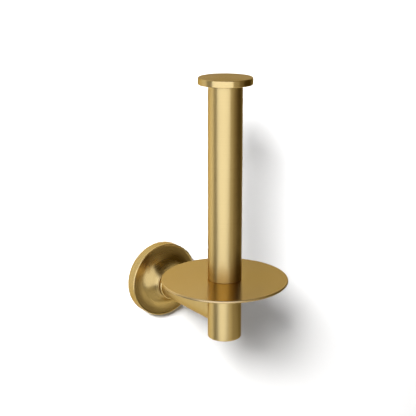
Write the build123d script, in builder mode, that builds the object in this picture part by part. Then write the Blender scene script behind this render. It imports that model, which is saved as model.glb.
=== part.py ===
from build123d import *
import os
from math import asin, cos, sin

# Wall-mounted upright toilet paper holder, built as separate pieces.
#
# Millimetres, +Z up.  The origin is the centre of the wall bracket's back face, on the wall
# plane Y = 0.  The arm runs out from the wall along -Y at Z = 0, and the post stands upright
# at the arm's far end.  Screw threads are plain cylinders at their nominal diameters.

# --- Driving dimensions -------------------------------------------------------------------
POST_REACH = 78.5  # wall to the post's axis
POST_DIAMETER = 22.0  # upper tube and lower barrel
TUBE_WALL = 1.2
TUBE_LENGTH = 127.5  # clear height for the roll, tray to cap
TRAY_DIAMETER = 82.7
TRAY_THICKNESS = 1.5
TRAY_TOP_Z = 22.2  # tray's upper face above the arm's axis
BARREL_LENGTH = 38.4
CAP_DIAMETER = 34.6
CAP_THICKNESS = 4.3

ARM_DIAMETER = 20.0
ARM_WALL = 1.5
ARM_START = 20.1  # wall to the arm tube's near end

RIM_DIAMETER = 52.4
RIM_DEPTH = 7.4
RIM_WALL = 2.1
NECK_RADIUS = 10.9
NECK_END = 15.9  # wall to the end of the flange's neck
SPIGOT_RADIUS = 9.7  # the narrow grooves either side of the neck ring
RING_RADIUS = 11.0
RING_START = 16.9
RING_END = 19.1

BRACKET_RADIUS = 23.0
BRACKET_THICKNESS = 4.5
BRACKET_HOLE_SPACING = 30.0
BRACKET_HOLE_DIAMETER = 4.6

THREAD_M4 = 4.0
THREAD_M6 = 6.0
THREAD_M8 = 8.0
THREAD_GAP = 0.05  # radial gap drawn between a screw and its tapped hole
FIT_GAP = 0.05  # radial gap round a plug in its tube
SMALL_CHAMFER = 0.6
STUD_CHAMFER = 0.8
RADIUS_TOLERANCE = 0.01  # for picking out the largest circles of a piece

# --- Positions worked out from them -------------------------------------------------------
TRAY_UNDER_Z = TRAY_TOP_Z - TRAY_THICKNESS
BARREL_BASE_Z = TRAY_UNDER_Z - BARREL_LENGTH
CAP_UNDER_Z = TRAY_TOP_Z + TUBE_LENGTH
POST_RADIUS = POST_DIAMETER / 2
TUBE_BORE_RADIUS = POST_RADIUS - TUBE_WALL
ARM_RADIUS = ARM_DIAMETER / 2
ARM_BORE_RADIUS = ARM_RADIUS - ARM_WALL
RIM_RADIUS = RIM_DIAMETER / 2
BARREL_FACE = POST_REACH - POST_RADIUS  # wall to the barrel's near side

WALL_PROFILE = Plane.XY  # local x = radius, local -y = distance from the wall


def from_wall(distance):
    """Plane square to the arm at this distance from the wall, facing away from it."""
    return Plane.XZ.offset(distance)


def post_plane(height):
    """Plane square to the post at this height, centred on its axis."""
    return Plane((0, -POST_REACH, height))


def save(piece, name):
    """Label one finished piece and write its STEP file."""
    piece.label = name
    export_step(piece, f"parts/{name}.step")


def make_rod(plane, diameter, length, end_chamfer):
    """A threaded stud, drawn as a chamfered cylinder that starts on the plane."""
    with BuildPart() as rod:
        with BuildSketch(plane):
            Circle(diameter / 2)
        extrude(amount=length)
        chamfer(rod.edges().filter_by(GeomType.CIRCLE), end_chamfer)
    return rod.part


def make_washer(plane, outer_radius, inner_radius, thickness):
    """A flat washer that stands on the plane."""
    with BuildPart() as washer:
        with BuildSketch(plane):
            Circle(outer_radius)
            Circle(inner_radius, mode=Mode.SUBTRACT)
        extrude(amount=thickness)
    return washer.part


os.makedirs("parts", exist_ok=True)

# --- Wall bracket: a round plate, two countersunk screw holes, a V-groove for the set screw -
GROOVE_FROM_WALL = 2.6
GROOVE_DEPTH = 1.2
GROOVE_HALF_WIDTH = 1.2
GROOVE_RUNOUT = 0.1  # how far the groove's cutter starts outside the plate
COUNTERSINK_DIAMETER = 9.2

with BuildPart() as wall_bracket:
    with BuildSketch(from_wall(0)):
        Circle(BRACKET_RADIUS)
    extrude(amount=BRACKET_THICKNESS)
    chamfer(wall_bracket.edges().sort_by(Axis.Y)[0], SMALL_CHAMFER)
    with BuildSketch(WALL_PROFILE) as groove:
        with BuildLine():
            Polyline(
                (BRACKET_RADIUS + GROOVE_RUNOUT, -GROOVE_FROM_WALL + GROOVE_HALF_WIDTH),
                (BRACKET_RADIUS - GROOVE_DEPTH, -GROOVE_FROM_WALL),
                (BRACKET_RADIUS + GROOVE_RUNOUT, -GROOVE_FROM_WALL - GROOVE_HALF_WIDTH),
                close=True,
            )
        make_face()
    revolve(axis=Axis.Y, mode=Mode.SUBTRACT)
    with Locations(from_wall(BRACKET_THICKNESS)):
        with GridLocations(0, BRACKET_HOLE_SPACING, 1, 2):
            CounterSinkHole(BRACKET_HOLE_DIAMETER / 2, COUNTERSINK_DIAMETER / 2)
save(wall_bracket.part, "wall_bracket")

# --- Flange: a turned bell with a straight rim, a hollowed face and a grooved neck ---------
LIP_WIDTH = 0.9
LIP_DROP = 0.5
NECK_FOOT = 14.9  # wall to the top of the face's sweep
WEB_BACK = 12.0  # wall to the flat inside, where the arm's bolt bears
WEB_BACK_RADIUS = 8.4
CAVITY_DEPTH = 5.0
RIM_INSIDE = RIM_RADIUS - RIM_WALL
RIM_EDGE = 0.6  # round on the rim's front edge
BEAD_HEIGHT = 0.2  # bead at the end of the neck, above the neck
BEAD_SLOPE = 0.3  # length of the bead's slope on either side
BOLT_CLEARANCE = 0.2  # radial gap round the arm bolt in the web
INNER_SLOPE_RUN = (2.2, 6.4)  # inner slope, outwards from the flat web
INNER_SLOPE_FALL = (2.0, 5.4)  # inner slope, back towards the wall
CAVITY_SHELF = 2.6  # width of the shelf round the bracket's cavity
SET_SCREW_FROM_WALL = GROOVE_FROM_WALL
SET_SCREW_HOLE_RUNOUT = 1.0  # how far the hole's cutter starts below the rim

face_foot = (RIM_RADIUS - LIP_WIDTH - LIP_DROP, RIM_DEPTH - LIP_DROP)
sweep_run = face_foot[0] - NECK_RADIUS
sweep_rise = NECK_FOOT - face_foot[1]
sweep_radius = (sweep_run**2 + sweep_rise**2) / (2 * sweep_rise)
half_sweep = asin(sweep_run / sweep_radius) / 2  # the arc leaves the lip flat
sweep_middle = (
    face_foot[0] - sweep_radius * sin(half_sweep),
    face_foot[1] + sweep_radius * (1 - cos(half_sweep)),
)

with BuildPart() as flange:
    with BuildSketch(WALL_PROFILE):
        with BuildLine():
            outside = Polyline(
                (RIM_INSIDE, 0),
                (RIM_RADIUS, 0),
                (RIM_RADIUS, -RIM_DEPTH),
                (RIM_RADIUS - LIP_WIDTH, -RIM_DEPTH),
                (face_foot[0], -face_foot[1]),
            )
            sweep_arc = ThreePointArc(
                outside @ 1,
                (sweep_middle[0], -sweep_middle[1]),
                (NECK_RADIUS, -NECK_FOOT),
            )
            Polyline(
                sweep_arc @ 1,
                (NECK_RADIUS + BEAD_HEIGHT, -NECK_FOOT - BEAD_SLOPE),
                (NECK_RADIUS + BEAD_HEIGHT, -NECK_END + BEAD_SLOPE),
                (NECK_RADIUS - BEAD_HEIGHT / 2, -NECK_END),
                (SPIGOT_RADIUS, -NECK_END),
                (SPIGOT_RADIUS, -RING_START),
                (THREAD_M6 / 2 + BOLT_CLEARANCE, -RING_START),
                (THREAD_M6 / 2 + BOLT_CLEARANCE, -WEB_BACK),
                (WEB_BACK_RADIUS, -WEB_BACK),
                (WEB_BACK_RADIUS + INNER_SLOPE_RUN[0], -WEB_BACK + INNER_SLOPE_FALL[0]),
                (WEB_BACK_RADIUS + INNER_SLOPE_RUN[1], -WEB_BACK + INNER_SLOPE_FALL[1]),
                (RIM_INSIDE - CAVITY_SHELF, -CAVITY_DEPTH),
                (RIM_INSIDE, -CAVITY_DEPTH),
                (RIM_INSIDE, 0),
            )
        make_face()
    revolve(axis=Axis.Y)
    rim_circles = flange.edges().filter_by(GeomType.CIRCLE)
    rim_circles = rim_circles.filter_by(lambda e: e.radius > RIM_RADIUS - RADIUS_TOLERANCE)
    fillet(rim_circles.sort_by(Axis.Y)[0], RIM_EDGE)
    # tapped hole for the set screw, through the underside of the rim
    with BuildSketch(Plane.XY.offset(-RIM_RADIUS - SET_SCREW_HOLE_RUNOUT)):
        with Locations((0, -SET_SCREW_FROM_WALL)):
            Circle(THREAD_M4 / 2 + THREAD_GAP)
    extrude(amount=RIM_WALL + 3 * SET_SCREW_HOLE_RUNOUT, mode=Mode.SUBTRACT)
save(flange.part, "flange")

# --- Set screw: socket grub screw with a cone point in the bracket's groove ----------------
SET_SCREW_SINK = 0.3  # head below the rim's surface, point clear of the groove's bottom
SET_SCREW_HEAD_Z = -RIM_RADIUS + SET_SCREW_SINK
SET_SCREW_TIP_Z = -(BRACKET_RADIUS - GROOVE_DEPTH) - SET_SCREW_SINK
SET_SCREW_POINT = 1.8
SET_SCREW_SOCKET = 2.0
SET_SCREW_SOCKET_DEPTH = 1.4

with BuildPart() as flange_set_screw:
    with BuildSketch(Plane((0, -SET_SCREW_FROM_WALL, SET_SCREW_HEAD_Z))):
        Circle(THREAD_M4 / 2)
    extrude(amount=SET_SCREW_TIP_Z - SET_SCREW_HEAD_Z)
    chamfer(flange_set_screw.edges().sort_by(Axis.Z)[-1], SET_SCREW_POINT)
    with BuildSketch(Plane((0, -SET_SCREW_FROM_WALL, SET_SCREW_HEAD_Z))):
        RegularPolygon(SET_SCREW_SOCKET / 2, 6, major_radius=False)
    extrude(amount=SET_SCREW_SOCKET_DEPTH, mode=Mode.SUBTRACT)
save(flange_set_screw.part, "flange_set_screw")

# --- Arm bolt with its washers, inside the flange ------------------------------------------
PLAIN_WASHER = 1.0
SPRING_WASHER = 1.4
PLAIN_WASHER_RADII = (6.0, 3.2)
SPRING_WASHER_RADII = (5.6, 3.1)
SPRING_SPLIT = (4.0, 0.8)  # length and width of the spring washer's split
SPRING_SPLIT_ANGLE = 12
BOLT_HEAD_HEIGHT = 3.3
BOLT_HEAD_RADIUS = 5.3
BOLT_HEAD_ROUND = 1.4
BOLT_SOCKET = 4.0
BOLT_SOCKET_DEPTH = 1.8
BOLT_LENGTH = 20.0
bolt_seat = WEB_BACK - PLAIN_WASHER - SPRING_WASHER

save(
    make_washer(from_wall(WEB_BACK - PLAIN_WASHER), *PLAIN_WASHER_RADII, PLAIN_WASHER),
    "arm_plain_washer",
)

with BuildPart() as arm_spring_washer:
    with BuildSketch(from_wall(bolt_seat)):
        Circle(SPRING_WASHER_RADII[0])
        Circle(SPRING_WASHER_RADII[1], mode=Mode.SUBTRACT)
        with Locations((sum(SPRING_WASHER_RADII) / 2, 0)):
            Rectangle(*SPRING_SPLIT, rotation=SPRING_SPLIT_ANGLE, mode=Mode.SUBTRACT)
    extrude(amount=SPRING_WASHER)
save(arm_spring_washer.part, "arm_spring_washer")

with BuildPart() as arm_bolt:
    with BuildSketch(from_wall(bolt_seat)):
        Circle(THREAD_M6 / 2)
    extrude(amount=BOLT_LENGTH)
    chamfer(arm_bolt.edges().sort_by(Axis.Y)[0], SMALL_CHAMFER)
    with BuildSketch(from_wall(bolt_seat - BOLT_HEAD_HEIGHT)):
        Circle(BOLT_HEAD_RADIUS)
    extrude(amount=BOLT_HEAD_HEIGHT)
    fillet(arm_bolt.edges().sort_by(Axis.Y)[-1], BOLT_HEAD_ROUND)
    with BuildSketch(from_wall(bolt_seat - BOLT_HEAD_HEIGHT)):
        RegularPolygon(BOLT_SOCKET / 2, 6, major_radius=False)
    extrude(amount=BOLT_SOCKET_DEPTH, mode=Mode.SUBTRACT)
save(arm_bolt.part, "arm_bolt")

# --- Neck ring: the raised band between the flange's neck and the arm ----------------------
INSERT_SPIGOT_RADIUS = 6.5
RING_EDGE = 0.6

with BuildPart() as neck_ring:
    with BuildSketch(from_wall(RING_START)):
        Circle(RING_RADIUS)
        Circle(INSERT_SPIGOT_RADIUS + FIT_GAP, mode=Mode.SUBTRACT)
    extrude(amount=RING_END - RING_START)
    ring_rims = neck_ring.edges().filter_by(GeomType.CIRCLE)
    fillet(ring_rims.filter_by(lambda e: e.radius > RING_RADIUS - RADIUS_TOLERANCE), RING_EDGE)
save(neck_ring.part, "neck_ring")

# --- Arm base insert: a tapped plug in the arm's near end, with a spigot for the ring ------
BASE_INSERT_LENGTH = 15.0
tapped_m6 = THREAD_M6 / 2 + THREAD_GAP

with BuildPart() as arm_base_insert:
    with BuildSketch(from_wall(RING_START)):
        Circle(INSERT_SPIGOT_RADIUS)
    extrude(amount=RING_END - RING_START)
    with BuildSketch(from_wall(RING_END)):
        Circle(SPIGOT_RADIUS)
    extrude(amount=ARM_START - RING_END)
    with BuildSketch(from_wall(ARM_START)):
        Circle(ARM_BORE_RADIUS - FIT_GAP)
    extrude(amount=BASE_INSERT_LENGTH)
    chamfer(arm_base_insert.edges().sort_by(Axis.Y)[0], STUD_CHAMFER)
    with BuildSketch(from_wall(RING_START)):
        Circle(tapped_m6)
    extrude(amount=ARM_START - RING_START + BASE_INSERT_LENGTH, mode=Mode.SUBTRACT)
save(arm_base_insert.part, "arm_base_insert")

# --- Arm tube: plain round tube, its far end saddled to the barrel -------------------------
SADDLE_GAP = 0.02
ARM_NEAR_EDGE = 0.3
SADDLE_OVERRUN = 3.0  # arm stock cut away inside the barrel's far half

with BuildPart() as arm_tube:
    with BuildSketch(from_wall(ARM_START)):
        Circle(ARM_RADIUS)
        Circle(ARM_BORE_RADIUS, mode=Mode.SUBTRACT)
    extrude(amount=POST_REACH - ARM_START - SADDLE_OVERRUN)
    near_rims = arm_tube.edges().filter_by(GeomType.CIRCLE).group_by(Axis.Y)[-1]
    chamfer(near_rims.sort_by(SortBy.RADIUS)[-1], ARM_NEAR_EDGE)
    with BuildSketch(post_plane(-POST_DIAMETER)):
        Circle(POST_RADIUS + SADDLE_GAP)
    extrude(amount=2 * POST_DIAMETER, mode=Mode.SUBTRACT)
save(arm_tube.part, "arm_tube")

# --- Arm end insert and the stud that ties the arm to the barrel ---------------------------
END_INSERT_LENGTH = 14.0
END_INSERT_GAP = 0.2  # clear of the barrel's side
STUD_IN_BARREL = 8.0
STUD_LENGTH = 19.0
tapped_m8 = THREAD_M8 / 2 + THREAD_GAP
end_insert_start = BARREL_FACE - END_INSERT_GAP - END_INSERT_LENGTH

with BuildPart() as arm_end_insert:
    with BuildSketch(from_wall(end_insert_start)):
        Circle(ARM_BORE_RADIUS - FIT_GAP)
        Circle(tapped_m8, mode=Mode.SUBTRACT)
    extrude(amount=END_INSERT_LENGTH)
    far_rims = arm_end_insert.edges().filter_by(GeomType.CIRCLE)
    chamfer(far_rims.filter_by(lambda e: e.radius > THREAD_M8), SMALL_CHAMFER)
save(arm_end_insert.part, "arm_end_insert")

save(
    make_rod(
        from_wall(BARREL_FACE + STUD_IN_BARREL - STUD_LENGTH),
        THREAD_M8,
        STUD_LENGTH,
        STUD_CHAMFER,
    ),
    "arm_stud",
)

# --- Barrel: turned bar below the tray, tapped across for the arm and down for the post ----
BARREL_EDGE = 0.5
WASHER_RADIUS = 8.0
WASHER_HOLE_RADIUS = 4.2
WASHER_THICKNESS = 0.6
WASHER_GAP = 0.1  # radial gap round a washer in its recess
TAP_RUNOUT = 0.5  # tapped hole beyond the end of its stud
POST_STUD_IN_BARREL = 13.0
POST_STUD_LENGTH = 29.0

with BuildPart() as barrel:
    with BuildSketch(post_plane(BARREL_BASE_Z)):
        Circle(POST_RADIUS)
    extrude(amount=BARREL_LENGTH)
    chamfer(barrel.edges().sort_by(Axis.Z)[0], BARREL_EDGE)
    with BuildSketch(post_plane(TRAY_UNDER_Z)):
        Circle(WASHER_RADIUS + WASHER_GAP)
    extrude(amount=-WASHER_THICKNESS, mode=Mode.SUBTRACT)
    with BuildSketch(post_plane(TRAY_UNDER_Z)):
        Circle(tapped_m8)
    extrude(amount=-POST_STUD_IN_BARREL - TAP_RUNOUT, mode=Mode.SUBTRACT)
    with BuildSketch(from_wall(BARREL_FACE)):
        Circle(tapped_m8)
    extrude(amount=STUD_IN_BARREL + TAP_RUNOUT, mode=Mode.SUBTRACT)
save(barrel.part, "barrel")

save(
    make_rod(
        post_plane(TRAY_UNDER_Z - POST_STUD_IN_BARREL),
        THREAD_M8,
        POST_STUD_LENGTH,
        STUD_CHAMFER,
    ),
    "post_stud",
)

# --- Tray: thin round plate that the roll rests on, with a grip washer on either side ------
TRAY_EDGE = 0.35

save(
    make_washer(
        post_plane(TRAY_UNDER_Z - WASHER_THICKNESS),
        WASHER_RADIUS,
        WASHER_HOLE_RADIUS,
        WASHER_THICKNESS,
    ),
    "tray_lower_washer",
)
save(
    make_washer(post_plane(TRAY_TOP_Z), WASHER_RADIUS, WASHER_HOLE_RADIUS, WASHER_THICKNESS),
    "tray_upper_washer",
)

with BuildPart() as tray:
    with BuildSketch(post_plane(TRAY_UNDER_Z)):
        Circle(TRAY_DIAMETER / 2)
        Circle(WASHER_HOLE_RADIUS, mode=Mode.SUBTRACT)
    extrude(amount=TRAY_THICKNESS)
    tray_rims = tray.edges().filter_by(GeomType.CIRCLE)
    fillet(
        tray_rims.filter_by(lambda e: e.radius > TRAY_DIAMETER / 2 - RADIUS_TOLERANCE),
        TRAY_EDGE,
    )
save(tray.part, "tray")

# --- Post tube with a tapped plug in each end ----------------------------------------------
LOWER_INSERT_LENGTH = 18.0
UPPER_INSERT_LENGTH = 14.0
CAP_SPIGOT_LENGTH = 4.0
CAP_STUD_IN_CAP = 5.5
CAP_STUD_LENGTH = 17.0
UPPER_INSERT_GAP = 0.4  # clear of the cap's spigot
upper_insert_top = CAP_UNDER_Z - CAP_SPIGOT_LENGTH - UPPER_INSERT_GAP

with BuildPart() as post_tube:
    with BuildSketch(post_plane(TRAY_TOP_Z)):
        Circle(POST_RADIUS)
        Circle(TUBE_BORE_RADIUS, mode=Mode.SUBTRACT)
    extrude(amount=TUBE_LENGTH)
save(post_tube.part, "post_tube")

with BuildPart() as tube_lower_insert:
    with BuildSketch(post_plane(TRAY_TOP_Z)):
        Circle(TUBE_BORE_RADIUS - FIT_GAP)
        Circle(tapped_m8, mode=Mode.SUBTRACT)
    extrude(amount=LOWER_INSERT_LENGTH)
    top_rims = tube_lower_insert.edges().filter_by(GeomType.CIRCLE).group_by(Axis.Z)[-1]
    chamfer(top_rims.sort_by(SortBy.RADIUS)[-1], STUD_CHAMFER)
    with BuildSketch(post_plane(TRAY_TOP_Z)):
        Circle(WASHER_RADIUS + WASHER_GAP)
    extrude(amount=WASHER_THICKNESS, mode=Mode.SUBTRACT)
save(tube_lower_insert.part, "tube_lower_insert")

with BuildPart() as tube_upper_insert:
    with BuildSketch(post_plane(upper_insert_top)):
        Circle(TUBE_BORE_RADIUS - FIT_GAP)
        Circle(tapped_m6, mode=Mode.SUBTRACT)
    extrude(amount=-UPPER_INSERT_LENGTH)
    upper_rims = tube_upper_insert.edges().filter_by(GeomType.CIRCLE)
    chamfer(upper_rims.filter_by(lambda e: e.radius > THREAD_M6), SMALL_CHAMFER)
save(tube_upper_insert.part, "tube_upper_insert")

# --- Cap: flat disc with a spigot in the tube's mouth, and the stud that holds it ----------
CAP_EDGE = 0.4

with BuildPart() as cap:
    with BuildSketch(post_plane(CAP_UNDER_Z)):
        Circle(CAP_DIAMETER / 2)
    extrude(amount=CAP_THICKNESS)
    fillet(cap.edges().filter_by(GeomType.CIRCLE), CAP_EDGE)
    with BuildSketch(post_plane(CAP_UNDER_Z)):
        Circle(TUBE_BORE_RADIUS - 2 * FIT_GAP)
    extrude(amount=-CAP_SPIGOT_LENGTH)
    with BuildSketch(post_plane(CAP_UNDER_Z - CAP_SPIGOT_LENGTH)):
        Circle(tapped_m6)
    extrude(amount=CAP_STUD_IN_CAP + TAP_RUNOUT, mode=Mode.SUBTRACT)
save(cap.part, "cap")

save(
    make_rod(
        post_plane(CAP_UNDER_Z - CAP_SPIGOT_LENGTH + CAP_STUD_IN_CAP - CAP_STUD_LENGTH),
        THREAD_M6,
        CAP_STUD_LENGTH,
        SMALL_CHAMFER,
    ),
    "cap_stud",
)
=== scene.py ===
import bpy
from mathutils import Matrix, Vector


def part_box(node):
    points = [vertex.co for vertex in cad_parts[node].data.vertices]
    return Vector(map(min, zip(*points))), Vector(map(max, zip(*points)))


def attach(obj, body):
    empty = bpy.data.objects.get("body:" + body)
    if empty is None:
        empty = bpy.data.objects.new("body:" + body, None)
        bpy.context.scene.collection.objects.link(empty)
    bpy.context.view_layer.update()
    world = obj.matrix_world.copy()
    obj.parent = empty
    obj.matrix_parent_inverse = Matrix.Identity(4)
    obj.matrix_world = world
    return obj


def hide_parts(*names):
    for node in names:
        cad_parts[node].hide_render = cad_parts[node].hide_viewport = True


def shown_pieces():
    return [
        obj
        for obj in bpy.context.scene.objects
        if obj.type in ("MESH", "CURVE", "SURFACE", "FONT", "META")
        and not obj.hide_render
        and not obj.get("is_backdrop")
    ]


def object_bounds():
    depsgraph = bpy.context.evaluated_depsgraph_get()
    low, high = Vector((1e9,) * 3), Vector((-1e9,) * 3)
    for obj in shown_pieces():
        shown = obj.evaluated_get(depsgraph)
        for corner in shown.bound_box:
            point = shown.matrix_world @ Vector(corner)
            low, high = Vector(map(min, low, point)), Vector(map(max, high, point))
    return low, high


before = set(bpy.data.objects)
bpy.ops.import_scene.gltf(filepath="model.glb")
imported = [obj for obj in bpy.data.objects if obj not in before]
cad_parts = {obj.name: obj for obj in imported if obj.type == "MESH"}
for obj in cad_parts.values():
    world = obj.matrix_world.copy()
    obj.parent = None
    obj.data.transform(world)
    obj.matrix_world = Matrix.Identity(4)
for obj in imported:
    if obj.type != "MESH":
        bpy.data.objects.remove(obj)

"""Upright toilet paper holder in brushed brass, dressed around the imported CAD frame.

Metres, +Z up, the wall is the plane Y = 0 and the arm runs out along -Y.  Every piece that
shows is turned on a lathe-like spindle: the flange, neck ring and arm about the arm's axis,
the barrel, tray, tube and cap about the post's axis.
"""

import logging
import math
from dataclasses import dataclass
from enum import Enum
from typing import Callable, Dict, List, Optional, Sequence, Tuple

import bmesh
import bpy
from mathutils import Matrix, Vector

log = logging.getLogger("holder")

MM = 0.001
ROOT = "root"
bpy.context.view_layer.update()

MERGE_GAP = 1e-7  # points nearer than this are one point
SHORTEST_EDGE = 1e-8
ON_AXIS = 1e-6  # points nearer the axis than this have no angle round it
SHARP_ANGLE = math.radians(32)
MAP_SCALE = 10.0  # turns of the map's U in a metre of outline

TURNING_MAP = "turning"
OUTLINE_RUN = "turning_run"
EDGE_WEAR = "edge_wear"
# attribute for painted shade: 1 where the hollow's colour is darkened to dim its highlight
HOLLOW_SHADE = "recess"

Colour = Tuple[float, float, float]


# --- Spindles and outlines ----------------------------------------------------------------


class Spindle(Enum):
    """The two axes that the holder's pieces are turned about."""

    POST = "post"
    ARM = "arm"


@dataclass(frozen=True)
class Axis:
    """A turning axis: a point on it, the way it runs, and the way radius is first measured."""

    origin: Vector
    along: Vector
    outward: Vector

    def place(self, radius: float, height: float) -> Vector:
        """Return the point at this radius and this height along the axis."""
        return self.origin + self.outward * radius + self.along * height

    def angle_of(self, point: Vector) -> float:
        """Return a point's angle round the axis, in radians."""
        offset = point - self.origin
        side = self.along.cross(self.outward)
        return math.atan2(offset.dot(side), offset.dot(self.outward))

    def radius_of(self, point: Vector) -> float:
        """Return a point's distance from the axis."""
        offset = point - self.origin
        return (offset - self.along * offset.dot(self.along)).length


def spindle_axis(spindle: Spindle) -> Axis:
    """Read a spindle's place from the frame.

    Args:
        spindle: The post's axis or the arm's axis.

    Returns:
        The axis, with heights measured from Z = 0 on the post and from the wall on the arm.
    """
    if spindle is Spindle.ARM:
        return Axis(Vector((0, 0, 0)), Vector((0, -1, 0)), Vector((1, 0, 0)))
    low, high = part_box("post_tube")
    return Axis(Vector((0, (low.y + high.y) / 2, 0)), Vector((0, 0, 1)), Vector((1, 0, 0)))


@dataclass(frozen=True)
class Corner:
    """One corner of an outline.

    Attributes:
        radius: Distance from the axis.
        height: Distance along the axis.
        rounding: Radius of the round worked on the corner, or 0 for a crisp one.
    """

    radius: float
    height: float
    rounding: float = 0.0


@dataclass(frozen=True)
class Station:
    """One point of a finished outline.

    Attributes:
        radius: Distance from the axis.
        height: Distance along the axis.
        edge: 1 on a rounded edge, where the finish wears, or 0.
        recess: 1 in a hollow, where shade is painted into the metal's colour, or 0.
    """

    radius: float
    height: float
    edge: float = 0.0
    recess: float = 0.0


def round_corner(
    before: Corner, corner: Corner, after: Corner, steps: int = 6, flat_share: float = 0.15
) -> List[Station]:
    """Replace a corner by a tangent arc with a short flat run at each end.

    The short runs keep the broad flats beside the arc shaded flat.

    Args:
        before: The corner before it.
        corner: The corner to round.
        after: The corner after it.
        steps: Number of arc segments.
        flat_share: Length of each flat run, as a share of the rounding.

    Returns:
        The stations that stand for the corner.
    """
    here = Vector((corner.radius, corner.height))
    if corner.rounding <= 0:
        return [Station(corner.radius, corner.height)]
    back = (Vector((before.radius, before.height)) - here).normalized()
    ahead = (Vector((after.radius, after.height)) - here).normalized()
    half = back.angle(ahead) / 2
    reach = corner.rounding / math.tan(half)
    flat_end = reach + flat_share * corner.rounding
    middle = here + (back + ahead).normalized() * (corner.rounding / math.sin(half))
    first = here + back * reach - middle
    turn = math.pi - 2 * half
    outwards = here - middle
    sense = math.copysign(1.0, first.x * outwards.y - first.y * outwards.x)
    stations = [Station(*(here + back * flat_end))]
    for step in range(steps + 1):
        spoke = Matrix.Rotation(sense * turn * step / steps, 2) @ first
        stations.append(Station(*(middle + spoke), edge=1.0))
    stations.append(Station(*(here + ahead * flat_end)))
    return stations


def outline(corners: Sequence[Corner], closed: bool) -> List[Station]:
    """Round every corner of an outline that asks for it.

    Args:
        corners: The outline's corners in order.
        closed: Whether the last corner joins the first.

    Returns:
        The finished stations.
    """
    count = len(corners)
    stations: List[Station] = []
    for index, corner in enumerate(corners):
        if not closed and index in (0, count - 1):
            stations.append(Station(corner.radius, corner.height))
        else:
            stations += round_corner(corners[index - 1], corner, corners[(index + 1) % count])
    return stations


def turn(
    name: str,
    axis: Axis,
    stations: Sequence[Station],
    closed: bool,
    steps: int = 160,
    reshape: Optional[Callable[[bmesh.types.BMesh], None]] = None,
) -> bpy.types.Object:
    """Spin an outline round an axis into a closed solid mesh.

    Args:
        name: The piece's name.
        axis: The turning axis.
        stations: The outline's points.
        closed: Whether the outline is a loop, as on a tube, or runs from axis to axis.
        steps: Number of segments round the axis.
        reshape: Optional last change to the turned mesh.

    Returns:
        The new object, at the origin, riding on the holder's body.
    """
    mesh_work = bmesh.new()
    run_layer = mesh_work.verts.layers.float.new(OUTLINE_RUN)
    edge_layer = mesh_work.verts.layers.float.new(EDGE_WEAR)
    hollow_shade_layer = mesh_work.verts.layers.float.new(HOLLOW_SHADE)
    points: List[bmesh.types.BMVert] = []
    run = 0.0
    for station in stations:
        vertex = mesh_work.verts.new(axis.place(station.radius, station.height))
        if points:
            run += (vertex.co - points[-1].co).length
        vertex[run_layer] = run
        vertex[edge_layer] = station.edge
        vertex[hollow_shade_layer] = station.recess
        points.append(vertex)
    pairs = list(zip(points, points[1:]))
    if closed:
        pairs.append((points[-1], points[0]))
    wires = [mesh_work.edges.new(pair) for pair in pairs]
    bmesh.ops.spin(
        mesh_work,
        geom=points + wires,
        cent=axis.origin,
        axis=axis.along,
        angle=2 * math.pi,
        steps=steps,
        use_merge=True,
    )
    bmesh.ops.remove_doubles(mesh_work, verts=mesh_work.verts[:], dist=MERGE_GAP)
    bmesh.ops.dissolve_degenerate(mesh_work, edges=mesh_work.edges[:], dist=SHORTEST_EDGE)
    if reshape:
        reshape(mesh_work)
    bmesh.ops.recalc_face_normals(mesh_work, faces=mesh_work.faces[:])
    lay_turning_map(mesh_work, axis, run_layer)
    return finish_piece(name, mesh_work)


def lay_turning_map(
    mesh_work: bmesh.types.BMesh, axis: Axis, run_layer: bmesh.types.BMLayerItem
) -> None:
    """Give a turned mesh a UV map with U along its outline and V round its axis.

    Args:
        mesh_work: The turned mesh.
        axis: Its turning axis.
        run_layer: The vertex layer with each vertex's distance along the outline.
    """
    map_layer = mesh_work.loops.layers.uv.new(TURNING_MAP)
    for face in mesh_work.faces:
        middle = axis.angle_of(face.calc_center_median())
        for corner in face.loops:
            swing = 0.0
            if axis.radius_of(corner.vert.co) > ON_AXIS:
                swing = axis.angle_of(corner.vert.co) - middle
                swing = (swing + math.pi) % (2 * math.pi) - math.pi
            along = corner.vert[run_layer] * MAP_SCALE
            corner[map_layer].uv = (along, (middle + swing) / (2 * math.pi))


def finish_piece(name: str, mesh_work: bmesh.types.BMesh) -> bpy.types.Object:
    """Write a mesh into a new smooth-shaded object that rides on the holder.

    Args:
        name: The piece's name.
        mesh_work: The finished mesh, which is freed.

    Returns:
        The new object.
    """
    for face in mesh_work.faces:
        face.smooth = True
    for edge in mesh_work.edges:
        if len(edge.link_faces) == 2 and edge.calc_face_angle(0.0) > SHARP_ANGLE:
            edge.smooth = False
    mesh = bpy.data.meshes.new(name)
    mesh_work.to_mesh(mesh)
    mesh_work.free()
    piece = bpy.data.objects.new(name, mesh)
    bpy.context.scene.collection.objects.link(piece)
    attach(piece, ROOT)
    return piece


# --- Finishes -----------------------------------------------------------------------------


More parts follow.
